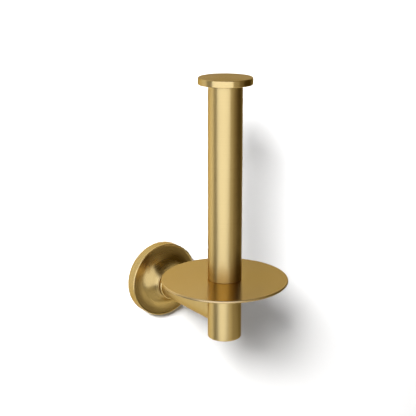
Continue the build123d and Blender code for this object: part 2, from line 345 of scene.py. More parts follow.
class Nodes:
    """Short-hand for wiring one material's nodes."""

    def __init__(self, material: bpy.types.Material) -> None:
        """Clear the material's node tree and keep it.

        Args:
            material: The material to wire.
        """
        material.use_nodes = True
        self.tree = material.node_tree
        self.tree.nodes.clear()

    def add(self, kind: str, **settings: object) -> bpy.types.Node:
        """Add a node.

        Args:
            kind: The node's type.
            settings: Properties to set on it.

        Returns:
            The new node.
        """
        node = self.tree.nodes.new(kind)
        for key, value in settings.items():
            setattr(node, key, value)
        return node

    def link(self, source: bpy.types.NodeSocket, target: bpy.types.NodeSocket) -> None:
        """Join two sockets."""
        self.tree.links.new(source, target)

    def maths(self, operation: str, first: object, second: object = 0.0) -> bpy.types.NodeSocket:
        """Add a maths node and return its output.

        Args:
            operation: The node's operation.
            first: A socket or a number.
            second: A socket or a number.

        Returns:
            The output socket.
        """
        node = self.add("ShaderNodeMath", operation=operation)
        for socket, value in zip(node.inputs, (first, second)):
            if isinstance(value, (int, float)):
                socket.default_value = value
            else:
                self.link(value, socket)
        return node.outputs[0]

    def span(
        self,
        value: bpy.types.NodeSocket,
        low: float,
        high: float,
        source: Tuple[float, float] = (0.0, 1.0),
    ) -> bpy.types.NodeSocket:
        """Map a value's source range onto another range.

        Args:
            value: The value.
            low: Result at the start of the source range.
            high: Result at its end.
            source: The source range.

        Returns:
            The mapped value.
        """
        node = self.add("ShaderNodeMapRange")
        node.inputs["From Min"].default_value = source[0]
        node.inputs["From Max"].default_value = source[1]
        node.inputs["To Min"].default_value = low
        node.inputs["To Max"].default_value = high
        self.link(value, node.inputs["Value"])
        return node.outputs["Result"]

    def blend(self, share: object, first: object, second: object) -> bpy.types.NodeSocket:
        """Mix two colours.

        Args:
            share: Socket or number with the second colour's share.
            first: Socket or colour.
            second: Socket or colour.

        Returns:
            The mixed colour's socket.
        """
        node = self.add("ShaderNodeMix", data_type="RGBA")
        sockets = (node.inputs[0], node.inputs[6], node.inputs[7])  # share, first and second colour
        for socket, value in zip(sockets, (share, first, second)):
            if isinstance(value, (int, float)):
                socket.default_value = value
            elif isinstance(value, tuple):
                socket.default_value = (*value, 1.0)
            else:
                self.link(value, socket)
        return node.outputs[2]  # the mixed colour

    def noise(
        self, vector: bpy.types.NodeSocket, scale: float, detail: float, roughness: float = 0.5
    ) -> bpy.types.NodeSocket:
        """Add a noise texture.

        Args:
            vector: The coordinates that it reads.
            scale: Lumps in one unit of them.
            detail: Number of finer layers.
            roughness: Strength of each finer layer.

        Returns:
            The noise's value.
        """
        node = self.add("ShaderNodeTexNoise")
        node.inputs["Scale"].default_value = scale
        node.inputs["Detail"].default_value = detail
        node.inputs["Roughness"].default_value = roughness
        self.link(vector, node.inputs["Vector"])
        return node.outputs["Fac"]

    def object_place(self) -> bpy.types.NodeSocket:
        """Return the piece's own coordinates."""
        return self.add("ShaderNodeTexCoord").outputs["Object"]

    def attribute(self, name: str) -> bpy.types.NodeSocket:
        """Return the value of one of the mesh's attributes."""
        return self.add("ShaderNodeAttribute", attribute_name=name).outputs["Fac"]

    def length(self, vector: bpy.types.NodeSocket) -> bpy.types.NodeSocket:
        """Return a vector's length."""
        node = self.add("ShaderNodeVectorMath", operation="LENGTH")
        self.link(vector, node.inputs[0])
        return node.outputs["Value"]

    def relief(
        self, height: bpy.types.NodeSocket, strength: float, distance: float
    ) -> bpy.types.NodeSocket:
        """Bump the surface.

        Args:
            height: The relief's height, 0 to 1.
            strength: Strength of the bump.
            distance: Depth that a height of 1 stands for.

        Returns:
            The bumped normal.
        """
        node = self.add("ShaderNodeBump")
        node.inputs["Strength"].default_value = strength
        node.inputs["Distance"].default_value = distance
        self.link(height, node.inputs["Height"])
        return node.outputs["Normal"]

    def show(self, surface: bpy.types.NodeSocket) -> None:
        """Make a shader the material's surface."""
        out = self.add("ShaderNodeOutputMaterial")
        self.link(surface, out.inputs["Surface"])


@dataclass(frozen=True)
class TurnedBrass:
    """Lacquered brass with fine brushing round a turning axis.

    Attributes:
        name: Material name.
        spindle: The axis that the brushing runs round.
        colour: Reflected colour of the clean metal.
        deep_colour: Colour in the deeper brushing.
        roughness: Mean roughness.
        roughness_swing: How far the brushing moves the roughness.
        stretch: How much the brushing draws a highlight out across its lines.
        rim_tint: Tint of the metal at a glancing angle.
        cloud_colour: Colour that the metal drifts towards in slow clouds.
        cloud_share: Most that it drifts.
        cloud_roughness: How far the clouds move the roughness.
        cloud_scale: Fineness of the clouds, in lumps per metre.
        hollow_shade_colour: Painted shade colour that the metal drifts towards in a hollow.
        hollow_shade_share: How far that painted shade darkens it.
        wear_colour: Colour of the worn edges.
        wear_share: Most of that colour on an edge.
        wear_scale: Fineness of the wear, in lumps per metre.
        edge_polish: How much smoother, or rougher where negative, the worn edges are.
        line_pitch: Spacing of the broad brushing lines.
        fine_lines: Fine lines in each broad one.
        streak_ends: How many times a streak ends in a metre round the axis.
        bump: Height of the brushing.
        bump_strength: Strength of that height.
        lacquer: Weight of the clear coat.
        lacquer_roughness: Roughness of the clear coat.
    """

    name: str
    spindle: Spindle
    colour: Colour = (0.635, 0.468, 0.185)
    deep_colour: Colour = (0.535, 0.38, 0.14)
    roughness: float = 0.33
    roughness_swing: float = 0.07
    stretch: float = 0.55
    rim_tint: Colour = (0.70, 0.52, 0.30)
    cloud_colour: Colour = (0.59, 0.42, 0.155)
    cloud_share: float = 0.5
    cloud_roughness: float = 0.025
    cloud_scale: float = 32.0
    hollow_shade_colour: Colour = (0.36, 0.235, 0.068)
    hollow_shade_share: float = 0.6
    wear_colour: Colour = (0.82, 0.60, 0.25)
    wear_share: float = 0.6
    wear_scale: float = 420.0
    edge_polish: float = 0.08
    line_pitch: float = 1.1 * MM
    fine_lines: float = 5.0
    streak_ends: float = 60.0
    bump: float = 0.008 * MM
    bump_strength: float = 0.35
    lacquer: float = 0.06
    lacquer_roughness: float = 0.12

    def make(self) -> bpy.types.Material:
        """Build the material.

        Returns:
            The new material.
        """
        material = bpy.data.materials.new(self.name)
        nodes = Nodes(material)
        lines = self.brushed_lines(nodes)
        cloud = nodes.noise(nodes.object_place(), self.cloud_scale, 3.0)
        spots = nodes.noise(nodes.object_place(), self.wear_scale, 2.0)
        worn = nodes.maths("MULTIPLY", nodes.attribute(EDGE_WEAR), spots)
        grain = nodes.add("ShaderNodeTangent", direction_type="UV_MAP", uv_map=TURNING_MAP)

        shader = nodes.add("ShaderNodeBsdfPrincipled")
        shader.inputs["Metallic"].default_value = 1.0
        shader.inputs["Anisotropic"].default_value = self.stretch
        shader.inputs["Specular Tint"].default_value = (*self.rim_tint, 1.0)
        shader.inputs["Coat Weight"].default_value = self.lacquer
        shader.inputs["Coat Roughness"].default_value = self.lacquer_roughness
        nodes.link(self.tone(nodes, lines, cloud, worn), shader.inputs["Base Color"])
        nodes.link(self.sheen(nodes, lines, cloud, worn), shader.inputs["Roughness"])
        bumped = nodes.relief(lines, self.bump_strength, self.bump)
        nodes.link(bumped, shader.inputs["Normal"])
        nodes.link(grain.outputs["Tangent"], shader.inputs["Tangent"])
        nodes.show(shader.outputs["BSDF"])
        return material

    def tone(
        self,
        nodes: Nodes,
        lines: bpy.types.NodeSocket,
        cloud: bpy.types.NodeSocket,
        worn: bpy.types.NodeSocket,
    ) -> bpy.types.NodeSocket:
        """Mix the metal's colour.

        Args:
            nodes: The material's nodes.
            lines: The brushing, 0 to 1.
            cloud: The slow clouds, 0 to 1.
            worn: The wear on the edges, 0 to 1.

        Returns:
            The colour's socket.
        """
        tint = nodes.blend(nodes.span(lines, 0.0, 1.0), self.deep_colour, self.colour)
        tint = nodes.blend(nodes.span(cloud, 0.0, self.cloud_share), tint, self.cloud_colour)
        # painted shade: the hollow's colour is darkened to dim its highlight
        recess = nodes.maths("MULTIPLY", nodes.attribute(HOLLOW_SHADE), self.hollow_shade_share)
        tint = nodes.blend(recess, tint, self.hollow_shade_colour)
        return nodes.blend(nodes.maths("MULTIPLY", worn, self.wear_share), tint, self.wear_colour)

    def sheen(
        self,
        nodes: Nodes,
        lines: bpy.types.NodeSocket,
        cloud: bpy.types.NodeSocket,
        worn: bpy.types.NodeSocket,
    ) -> bpy.types.NodeSocket:
        """Work out the metal's roughness.

        Args:
            nodes: The material's nodes.
            lines: The brushing, 0 to 1.
            cloud: The slow clouds, 0 to 1.
            worn: The wear on the edges, 0 to 1.

        Returns:
            The roughness's socket.
        """
        swing, drift = self.roughness_swing, self.cloud_roughness
        rough = nodes.span(lines, self.roughness - swing, self.roughness + swing)
        rough = nodes.maths("ADD", rough, nodes.span(cloud, -drift, drift))
        polish = nodes.maths("MULTIPLY", worn, self.edge_polish)
        return nodes.maths("SUBTRACT", rough, polish)

    def brushed_lines(self, nodes: Nodes) -> bpy.types.NodeSocket:
        """Lay the brushing round the axis.

        Args:
            nodes: The material's nodes.

        Returns:
            The mean of the broad and the fine brushing, 0 to 1.
        """
        place = self.local_place(nodes, spindle_axis(self.spindle))
        split = nodes.add("ShaderNodeSeparateXYZ")
        nodes.link(place, split.inputs[0])
        across = nodes.add("ShaderNodeCombineXYZ")
        nodes.link(split.outputs["X"], across.inputs["X"])
        nodes.link(split.outputs["Y"], across.inputs["Y"])
        radius = nodes.length(across.outputs[0])
        drift = nodes.maths("ADD", split.outputs["X"], split.outputs["Y"])
        broad, fine = (
            self.brushing(nodes, radius, split.outputs["Z"], drift, pitch)
            for pitch in (self.line_pitch, self.line_pitch / self.fine_lines)
        )
        return nodes.maths("MULTIPLY", nodes.maths("ADD", broad, fine), 0.5)

    @staticmethod
    def local_place(nodes: Nodes, axis: Axis) -> bpy.types.NodeSocket:
        """Return coordinates centred on the axis, with their Z along it.

        Args:
            nodes: The material's nodes.
            axis: The turning axis.

        Returns:
            The coordinates' socket.
        """
        mapping = nodes.add("ShaderNodeMapping", vector_type="TEXTURE")
        mapping.inputs["Location"].default_value = axis.origin
        mapping.inputs["Rotation"].default_value = axis.along.to_track_quat("Z", "Y").to_euler()
        nodes.link(nodes.object_place(), mapping.inputs["Vector"])
        return mapping.outputs["Vector"]

    def brushing(
        self,
        nodes: Nodes,
        radius: bpy.types.NodeSocket,
        height: bpy.types.NodeSocket,
        drift: bpy.types.NodeSocket,
        pitch: float,
    ) -> bpy.types.NodeSocket:
        """Return a streak pattern that runs round the axis.

        Args:
            nodes: The material's nodes.
            radius: Distance from the axis.
            height: Distance along the axis.
            drift: A slow coordinate round the axis, which ends each streak.
            pitch: Spacing of the streaks.

        Returns:
            The pattern's value, 0 to 1.
        """
        spread = nodes.add("ShaderNodeCombineXYZ")
        nodes.link(nodes.maths("MULTIPLY", radius, 1 / pitch), spread.inputs["X"])
        nodes.link(nodes.maths("MULTIPLY", height, 1 / pitch), spread.inputs["Y"])
        nodes.link(nodes.maths("MULTIPLY", drift, self.streak_ends), spread.inputs["Z"])
        return nodes.noise(spread.outputs[0], 1.0, 2.0, 0.6)


@dataclass(frozen=True)
class PlainFinish:
    """A finish with cloudy colour and fine surface grain, for hardware and small pieces.

    Attributes:
        name: Material name.
        colour: Main colour.
        second_colour: Colour that it drifts towards.
        metallic: 1 for metal, 0 for plastic.
        roughness: Mean roughness.
        grain_scale: Fineness of the grain, in lumps per metre.
        cloud_scale: Fineness of the colour's clouds, in lumps per metre.
        bump: Height of the grain.
        bump_strength: Strength of that height.
        smoother: How far the grain lowers the roughness.
        rougher: How far it raises it.
    """

    name: str
    colour: Colour
    second_colour: Colour
    metallic: float
    roughness: float
    grain_scale: float = 1800.0
    cloud_scale: float = 90.0
    bump: float = 0.01 * MM
    bump_strength: float = 0.4
    smoother: float = 0.06
    rougher: float = 0.08

    def make(self) -> bpy.types.Material:
        """Build the material.

        Returns:
            The new material.
        """
        material = bpy.data.materials.new(self.name)
        nodes = Nodes(material)
        place = nodes.object_place()
        cloud = nodes.noise(place, self.cloud_scale, 4.0)
        grain = nodes.noise(place, self.grain_scale, 3.0, 0.6)
        shader = nodes.add("ShaderNodeBsdfPrincipled")
        shader.inputs["Metallic"].default_value = self.metallic
        nodes.link(nodes.blend(cloud, self.colour, self.second_colour), shader.inputs["Base Color"])
        rough = nodes.span(grain, self.roughness - self.smoother, self.roughness + self.rougher)
        nodes.link(rough, shader.inputs["Roughness"])
        bumped = nodes.relief(grain, self.bump_strength, self.bump)
        nodes.link(bumped, shader.inputs["Normal"])
        nodes.show(shader.outputs["BSDF"])
        return material


BARE_BRASS = PlainFinish("bare_brass", (0.66, 0.50, 0.24), (0.58, 0.42, 0.18), 1.0, 0.32)
ZINC_PLATE = PlainFinish(
    "zinc_plate", (0.60, 0.61, 0.62), (0.48, 0.50, 0.52), 1.0, 0.38, grain_scale=900.0
)
STEEL = PlainFinish("steel_hardware", (0.56, 0.56, 0.57), (0.46, 0.46, 0.47), 1.0, 0.30)
DARK_STEEL = PlainFinish("dark_steel", (0.10, 0.095, 0.09), (0.06, 0.055, 0.05), 1.0, 0.40)
NYLON = PlainFinish("nylon", (0.84, 0.84, 0.81), (0.78, 0.78, 0.74), 0.0, 0.45)

HARDWARE: Dict[str, PlainFinish] = {
    "wall_bracket": ZINC_PLATE,
    "flange_set_screw": DARK_STEEL,
    "arm_plain_washer": STEEL,
    "arm_spring_washer": STEEL,
    "arm_bolt": STEEL,
    "arm_end_insert": BARE_BRASS,
    "arm_stud": STEEL,
    "post_stud": STEEL,
    "tray_lower_washer": NYLON,
    "tray_upper_washer": NYLON,
    "tube_lower_insert": BARE_BRASS,
    "tube_upper_insert": BARE_BRASS,
    "cap_stud": STEEL,
}


def dress(piece: bpy.types.Object, material: bpy.types.Material) -> None:
    """Give a piece one material in place of any it has."""
    piece.data.materials.clear()
    piece.data.materials.append(material)


# --- Sub-assemblies -----------------------------------------------------------------------


@dataclass
class WallEnd:
    """The bell flange, the ring at its neck and the insert shoulder that shows beside it.

    Attributes:
        finish: Finish of all three.
        rim_depth: Depth of the straight rim.
        rim_wall: Thickness of the rim.
        rim_edge: Round on the rim's front edge.
        wall_edge: Round on the rim's edge at the wall.
        lip_width: Width of the flat lip.
        lip_drop: Depth of the step from the lip down to the face.
        lip_edge: Round on the lip's inner edge.
        neck_radius: Radius of the neck where the face's sweep ends.
        neck_foot: Wall to the end of the sweep.
        sweep_power: How late the sweep rises from the flat face to the neck.
        neck_end: Wall to the end of the neck.
        neck_edge: Round on the neck's end.
        bead_height: Height of the bead at the end of the neck.
        bead_slope: Length of the bead's slope.
        bead_edge: Round at the top of the slope.
        groove_radius: Radius of the narrow grooves beside the ring.
        groove_edge: Round in the groove's corner.
        ring_start: Wall to the ring.
        bolt_hole_radius: Radius of the hole for the arm's bolt.
        web_back: Wall to the flat inside.
        web_back_radius: Radius of that flat.
        inner_run: Width of the inner slope at its break and at its end.
        inner_fall: Depth of the inner slope at the same two places.
        cavity_shelf: Width of the shelf round the space for the bracket.
        cavity_depth: Depth of that space.
        screw_gap: Gap between the set screw and its hole.
        screw_cut: Length of the hole's cutter, as a share of the screw's.
        ring_bore: Radius of the ring's hole.
        ring_edge: Round on the ring's edges.
        insert_bore: Radius of the insert's tapped hole.
        insert_collar: Radius of the insert inside the ring.
        insert_plug: Radius of the insert inside the arm.
        insert_edge: Round on the plug's far edge.
    """

    finish: TurnedBrass
    rim_depth: float = 7.4 * MM
    rim_wall: float = 2.1 * MM
    rim_edge: float = 0.6 * MM
    wall_edge: float = 0.15 * MM
    lip_width: float = 0.9 * MM
    lip_drop: float = 0.5 * MM
    lip_edge: float = 0.25 * MM
    neck_radius: float = 10.9 * MM
    neck_foot: float = 14.9 * MM
    sweep_power: float = 3.0
    neck_end: float = 15.9 * MM
    neck_edge: float = 0.3 * MM
    bead_height: float = 0.2 * MM
    bead_slope: float = 0.3 * MM
    bead_edge: float = 0.15 * MM
    groove_radius: float = 9.7 * MM
    groove_edge: float = 0.1 * MM
    ring_start: float = 16.9 * MM
    bolt_hole_radius: float = 3.2 * MM
    web_back: float = 12.0 * MM
    web_back_radius: float = 8.4 * MM
    inner_run: Tuple[float, float] = (2.2 * MM, 6.4 * MM)
    inner_fall: Tuple[float, float] = (2.0 * MM, 5.4 * MM)
    cavity_shelf: float = 2.6 * MM
    cavity_depth: float = 5.0 * MM
    screw_gap: float = 0.05 * MM
    screw_cut: float = 1.6
    ring_bore: float = 6.55 * MM
    ring_edge: float = 0.7 * MM
    insert_bore: float = 3.05 * MM
    insert_collar: float = 6.5 * MM
    insert_plug: float = 8.45 * MM
    insert_edge: float = 0.6 * MM

    def build(self) -> None:
        """Build the flange, the neck ring and the base insert."""
        material = self.finish.make()
        flange = self.cut_screw_hole(self.turn_flange())
        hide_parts("flange")
        ring = self.turn_ring()
        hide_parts("neck_ring")
        insert = self.turn_insert()
        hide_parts("arm_base_insert")
        for piece in (flange, ring, insert):
            dress(piece, material)

    def sweep(self, start: Corner, steps: int = 30, clearing: float = 8.0) -> List[Station]:
        """Return the hollow sweep from the foot of the lip to the neck.

        Args:
            start: Where the sweep leaves the lip, running straight inwards.
            steps: Number of segments.
            clearing: How fast the painted shade in the hollow clears at the neck.

        Returns:
            The sweep's stations, after its start.
        """
        run = start.radius - self.neck_radius
        rise = self.neck_foot - start.height
        shares = [step / steps for step in range(1, steps + 1)]
        return [
            Station(
                start.radius - run * share,
                start.height + rise * share**self.sweep_power,
                # painted shade over the hollow, fading out near the neck
                recess=min(1.0, clearing * (1 - share)),
            )
            for share in shares
        ]

    def turn_flange(self) -> bpy.types.Object:
        """Turn the flange as one closed shell.

        Returns:
            The new piece.
        """
        low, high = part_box("flange")
        rim = (high.x - low.x) / 2
        inside = rim - self.rim_wall
        foot = Corner(rim - self.lip_width - self.lip_drop, self.rim_depth - self.lip_drop)
        wall_inside = Corner(inside, 0)
        front = [
            wall_inside,
            Corner(rim, 0, self.wall_edge),
            Corner(rim, self.rim_depth, self.rim_edge),
            Corner(rim - self.lip_width, self.rim_depth, self.lip_edge),
            foot,
        ]
        face = self.sweep(foot)
        bead = self.neck_radius + self.bead_height
        flat = self.web_back_radius
        back = [
            Corner(face[-1].radius, face[-1].height),
            Corner(bead, self.neck_foot + self.bead_slope, self.bead_edge),
            Corner(bead, self.neck_end, self.neck_edge),
            Corner(self.groove_radius, self.neck_end, self.groove_edge),
            Corner(self.groove_radius, self.ring_start),
            Corner(self.bolt_hole_radius, self.ring_start),
            Corner(self.bolt_hole_radius, self.web_back),
            Corner(flat, self.web_back),
            Corner(flat + self.inner_run[0], self.web_back - self.inner_fall[0]),
            Corner(flat + self.inner_run[1], self.web_back - self.inner_fall[1]),
            Corner(inside - self.cavity_shelf, self.cavity_depth),
            Corner(inside, self.cavity_depth),
            wall_inside,
        ]
        stations = [*outline(front, False), *face, *outline(back, False)[1:-1]]
        return turn("bell_flange", spindle_axis(Spindle.ARM), stations, closed=True, steps=192)

    def cut_screw_hole(self, flange: bpy.types.Object) -> bpy.types.Object:
        """Bore the set screw's hole through the underside of the rim.

        Args:
            flange: The turned flange.

        Returns:
            The same piece with the hole.
        """
        low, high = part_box("flange_set_screw")
        hole = (high.x - low.x) / 2 + self.screw_gap
        cutter_work = bmesh.new()
        bmesh.ops.create_cone(
            cutter_work,
            cap_ends=True,
            segments=48,
            radius1=hole,
            radius2=hole,
            depth=(high.z - low.z) * self.screw_cut,
            matrix=Matrix.Translation((low + high) / 2),
        )
        cutter_mesh = bpy.data.meshes.new("screw_hole")
        cutter_work.to_mesh(cutter_mesh)
        cutter_work.free()
        cutter = bpy.data.objects.new("screw_hole", cutter_mesh)
        bpy.context.scene.collection.objects.link(cutter)
        cut = flange.modifiers.new("screw_hole", "BOOLEAN")
        cut.operation = "DIFFERENCE"
        cut.solver = "EXACT"
        cut.object = cutter
        bpy.context.view_layer.update()
        graph = bpy.context.evaluated_depsgraph_get()
        mesh = bpy.data.meshes.new_from_object(flange.evaluated_get(graph))
        flange.modifiers.clear()
        flange.data = mesh
        bpy.data.objects.remove(cutter)
        return flange

    def turn_ring(self) -> bpy.types.Object:
        """Turn the neck ring.

        Returns:
            The new piece.
        """
        low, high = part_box("neck_ring")
        outer = (high.x - low.x) / 2
        corners = [
            Corner(self.ring_bore, -high.y),
            Corner(outer, -high.y, self.ring_edge),
            Corner(outer, -low.y, self.ring_edge),
            Corner(self.ring_bore, -low.y),
        ]
        stations = outline(corners, True)
        return turn("neck_ring_turned", spindle_axis(Spindle.ARM), stations, closed=True)

    def turn_insert(self) -> bpy.types.Object:
        """Turn the arm's base insert, whose shoulder shows as the second groove.

        Returns:
            The new piece.
        """
        low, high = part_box("arm_base_insert")
        _, arm_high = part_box("arm_tube")
        ring_low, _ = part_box("neck_ring")
        corners = [
            Corner(self.insert_bore, -high.y),
            Corner(self.insert_collar, -high.y),
            Corner(self.insert_collar, -ring_low.y),
            Corner(self.groove_radius, -ring_low.y),
            Corner(self.groove_radius, -arm_high.y),
            Corner(self.insert_plug, -arm_high.y),
            Corner(self.insert_plug, -low.y, self.insert_edge),
            Corner(self.insert_bore, -low.y),
        ]
        stations = outline(corners, True)
        return turn("arm_insert_turned", spindle_axis(Spindle.ARM), stations, closed=True)


@dataclass
class Arm:
    """The plain round arm, saddled to the barrel.

    Attributes:
        finish: Finish of the tube.
        wall: Thickness of the tube.
        near_edge: Round on the end beside the flange.
        saddle_gap: Gap between the saddle and the barrel.
        end_band: How near the far end a point belongs to the saddle.
    """

    finish: TurnedBrass
    wall: float = 1.5 * MM
    near_edge: float = 0.3 * MM
    saddle_gap: float = 0.02 * MM
    end_band: float = 0.01 * MM

    def build(self) -> None:
        """Build the arm tube."""
        piece = self.turn_arm()
        dress(piece, self.finish.make())
        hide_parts("arm_tube")

    def turn_arm(self) -> bpy.types.Object:
        """Turn the tube and shape its far end to the barrel's round side.

        Returns:
            The new piece.
        """
        low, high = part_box("arm_tube")
        barrel_low, barrel_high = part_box("barrel")
        outer = (high.x - low.x) / 2
        reach = -low.y
        post = spindle_axis(Spindle.POST).origin
        saddle = (barrel_high.x - barrel_low.x) / 2 + self.saddle_gap

        def shape_saddle(mesh_work: bmesh.types.BMesh) -> None:
            """Move the far end's vertices onto the barrel's side.

            Args:
                mesh_work: The turned tube.
            """
            for vertex in mesh_work.verts:
                if vertex.co.y < -reach + self.end_band:
                    vertex.co.y = post.y + math.sqrt(saddle**2 - vertex.co.x**2)

        corners = [
            Corner(outer - self.wall, -high.y),
            Corner(outer, -high.y, self.near_edge),
            Corner(outer, reach),
            Corner(outer - self.wall, reach),
        ]
        stations = outline(corners, True)
        axis = spindle_axis(Spindle.ARM)
        return turn("arm", axis, stations, closed=True, reshape=shape_saddle)


@dataclass
class Post:
    """The barrel, tray, tube and cap, one above the other on the post's axis.

    Attributes:
        finish: Finish of the barrel and the tube.
        tray_finish: Finish of the tray.
        cap_finish: Finish of the cap.
        barrel_edge: Round on the barrel's bottom edge.
        tray_edge: Round on the tray's edges.
        cap_edge: Round on the cap's edges.
        tube_wall: Thickness of the tube.
        tube_edge: Round on the tube's foot.
        washer_recess: Depth of the washer's recess in the barrel.
        washer_radius: Radius of that recess.
        tray_bore: Radius of the tray's hole.
        thread_radius: Radius of the tapped hole in the barrel.
        cap_thread_radius: Radius of the tapped hole in the cap.
        spigot_gap: Gap between the cap's spigot and the tube.
        stud_gap: Depth that a tapped hole runs past its stud.
    """

    finish: TurnedBrass
    tray_finish: TurnedBrass
    cap_finish: TurnedBrass
    barrel_edge: float = 0.6 * MM
    tray_edge: float = 0.55 * MM
    cap_edge: float = 0.4 * MM
    tube_wall: float = 1.2 * MM
    tube_edge: float = 0.3 * MM
    washer_recess: float = 0.6 * MM
    washer_radius: float = 8.1 * MM
    tray_bore: float = 4.2 * MM
    thread_radius: float = 4.05 * MM
    cap_thread_radius: float = 3.05 * MM
    spigot_gap: float = 0.1 * MM
    stud_gap: float = 0.5 * MM

    def build(self) -> None:
        """Build the four pieces that show on the post."""
        material = self.finish.make()
        built = (
            (self.turn_barrel(), "barrel", material),
            (self.turn_tube(), "post_tube", material),
            (self.turn_tray(), "tray", self.tray_finish.make()),
            (self.turn_cap(), "cap", self.cap_finish.make()),
        )
        for piece, node, finish in built:
            dress(piece, finish)
            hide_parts(node)

    def turn_barrel(self) -> bpy.types.Object:
        """Turn the barrel, with its washer recess and blind tapped hole.

        Returns:
            The new piece.
        """
        low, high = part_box("barrel")
        outer = (high.x - low.x) / 2
        stud_low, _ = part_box("post_stud")
        recess_floor = high.z - self.washer_recess
        hole_end = stud_low.z - self.stud_gap
        corners = [
            Corner(0, low.z),
            Corner(outer, low.z, self.barrel_edge),
            Corner(outer, high.z),
            Corner(self.washer_radius, high.z),
            Corner(self.washer_radius, recess_floor),
            Corner(self.thread_radius, recess_floor),
            Corner(self.thread_radius, hole_end),
            Corner(0, hole_end),
        ]
        stations = outline(corners, False)
        return turn("lower_barrel", spindle_axis(Spindle.POST), stations, closed=False)

    def turn_tube(self) -> bpy.types.Object:
        """Turn the upper tube.

        Returns:
            The new piece.
        """
        low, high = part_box("post_tube")
        outer = (high.x - low.x) / 2
        corners = [
            Corner(outer - self.tube_wall, low.z),
            Corner(outer, low.z, self.tube_edge),
            Corner(outer, high.z, self.tube_edge / 2),
            Corner(outer - self.tube_wall, high.z),
        ]
        stations = outline(corners, True)
        return turn("upper_tube", spindle_axis(Spindle.POST), stations, closed=True)

    def turn_tray(self) -> bpy.types.Object:
        """Turn the tray.

        Returns:
            The new piece.
        """
        low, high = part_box("tray")
        outer = (high.x - low.x) / 2
        corners = [
            Corner(self.tray_bore, low.z),
            Corner(outer, low.z, self.tray_edge),
            Corner(outer, high.z, self.tray_edge),
            Corner(self.tray_bore, high.z),
        ]
        stations = outline(corners, True)
        return turn("roll_tray", spindle_axis(Spindle.POST), stations, closed=True, steps=256)

    def turn_cap(self) -> bpy.types.Object:
        """Turn the cap with its spigot.

        Returns:
            The new piece.
        """
        low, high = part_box("cap")
        tube_low, tube_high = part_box("post_tube")
        _, stud_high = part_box("cap_stud")
        outer = (high.x - low.x) / 2
        spigot = -tube_low.x - self.tube_wall - self.spigot_gap
        hole_end = stud_high.z + self.stud_gap
        corners = [
            Corner(0, high.z),
            Corner(outer, high.z, self.cap_edge),
            Corner(outer, tube_high.z, self.cap_edge),
            Corner(spigot, tube_high.z),
            Corner(spigot, low.z),
            Corner(self.cap_thread_radius, low.z),
            Corner(self.cap_thread_radius, hole_end),
            Corner(0, hole_end),
        ]
        stations = outline(corners, False)
        return turn("post_cap", spindle_axis(Spindle.POST), stations, closed=False, steps=192)


@dataclass
class Hardware:
    """The CAD nodes that keep their own shape and only take a finish.

    Attributes:
        finishes: Each node's finish.
    """

    finishes: Dict[str, PlainFinish]

    def build(self) -> None:
        """Dress every listed node."""
        made: Dict[str, bpy.types.Material] = {}
        for node, finish in self.finishes.items():
            if finish.name not in made:
                made[finish.name] = finish.make()
            dress(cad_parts[node], made[finish.name])


# --- Stage --------------------------------------------------------------------------------


class Reach(Enum):
    """What a light does: brighten the stage, show in the metal's gloss, or both."""

    STAGE = "stage"
    GLOSS = "gloss"
    BOTH = "both"


class Panel(Enum):
    """The outline of a light panel."""

    STRAIGHT = "RECTANGLE"
    ROUND = "ELLIPSE"


@dataclass(frozen=True)
class StudioLight:
    """One soft light, aimed at the holder's middle.

    Attributes:
        name: The light's name.
        azimuth: Degrees from straight out of the wall, towards +X.
        elevation: Degrees above the horizon.
        distance: Distance from the holder's middle.
        width: Width of a panel, or diameter of a lamp.
        height: Height of a panel.
        power: Power in watts.
        reach: What the light does.
        colour: Colour of the light.
        cone: Full angle of a lamp's cone in degrees, or 0 for a panel.
        panel: Outline of a panel.
    """

    name: str
    azimuth: float
    elevation: float
    distance: float
    width: float
    height: float
    power: float
    reach: Reach = Reach.BOTH
    colour: Colour = (1.0, 1.0, 1.0)
    cone: float = 0.0
    panel: Panel = Panel.STRAIGHT

    def build(self, target: Vector) -> None:
        """Hang the light and aim it.

        Args:
            target: The point that the light faces.
        """
        away = direction(self.azimuth, self.elevation)
        lamp = bpy.data.lights.new(self.name, "SPOT" if self.cone else "AREA")
        if self.cone:
            lamp.shadow_soft_size = self.width / 2
            lamp.spot_size = math.radians(self.cone)
            lamp.spot_blend = 1.0
        else:
            lamp.shape = self.panel.value
            lamp.size = self.width
            lamp.size_y = self.height
        lamp.energy = self.power
        lamp.color = self.colour
        holder = bpy.data.objects.new(self.name, lamp)
        holder.location = target + away * self.distance
        holder.rotation_euler = away.to_track_quat("Z", "Y").to_euler()
        holder.visible_camera = False
        holder.visible_glossy = self.reach is not Reach.STAGE
        holder.visible_diffuse = self.reach is not Reach.GLOSS
        bpy.context.scene.collection.objects.link(holder)


def direction(azimuth: float, elevation: float) -> Vector:
    """Return the unit vector of a direction.

    Args:
        azimuth: Degrees from straight out of the wall, towards +X.
        elevation: Degrees above the horizon.

    Returns:
        The unit vector.
    """
    around, up = math.radians(azimuth), math.radians(elevation)
    return Vector((math.sin(around) * math.cos(up), -math.cos(around) * math.cos(up), math.sin(up)))


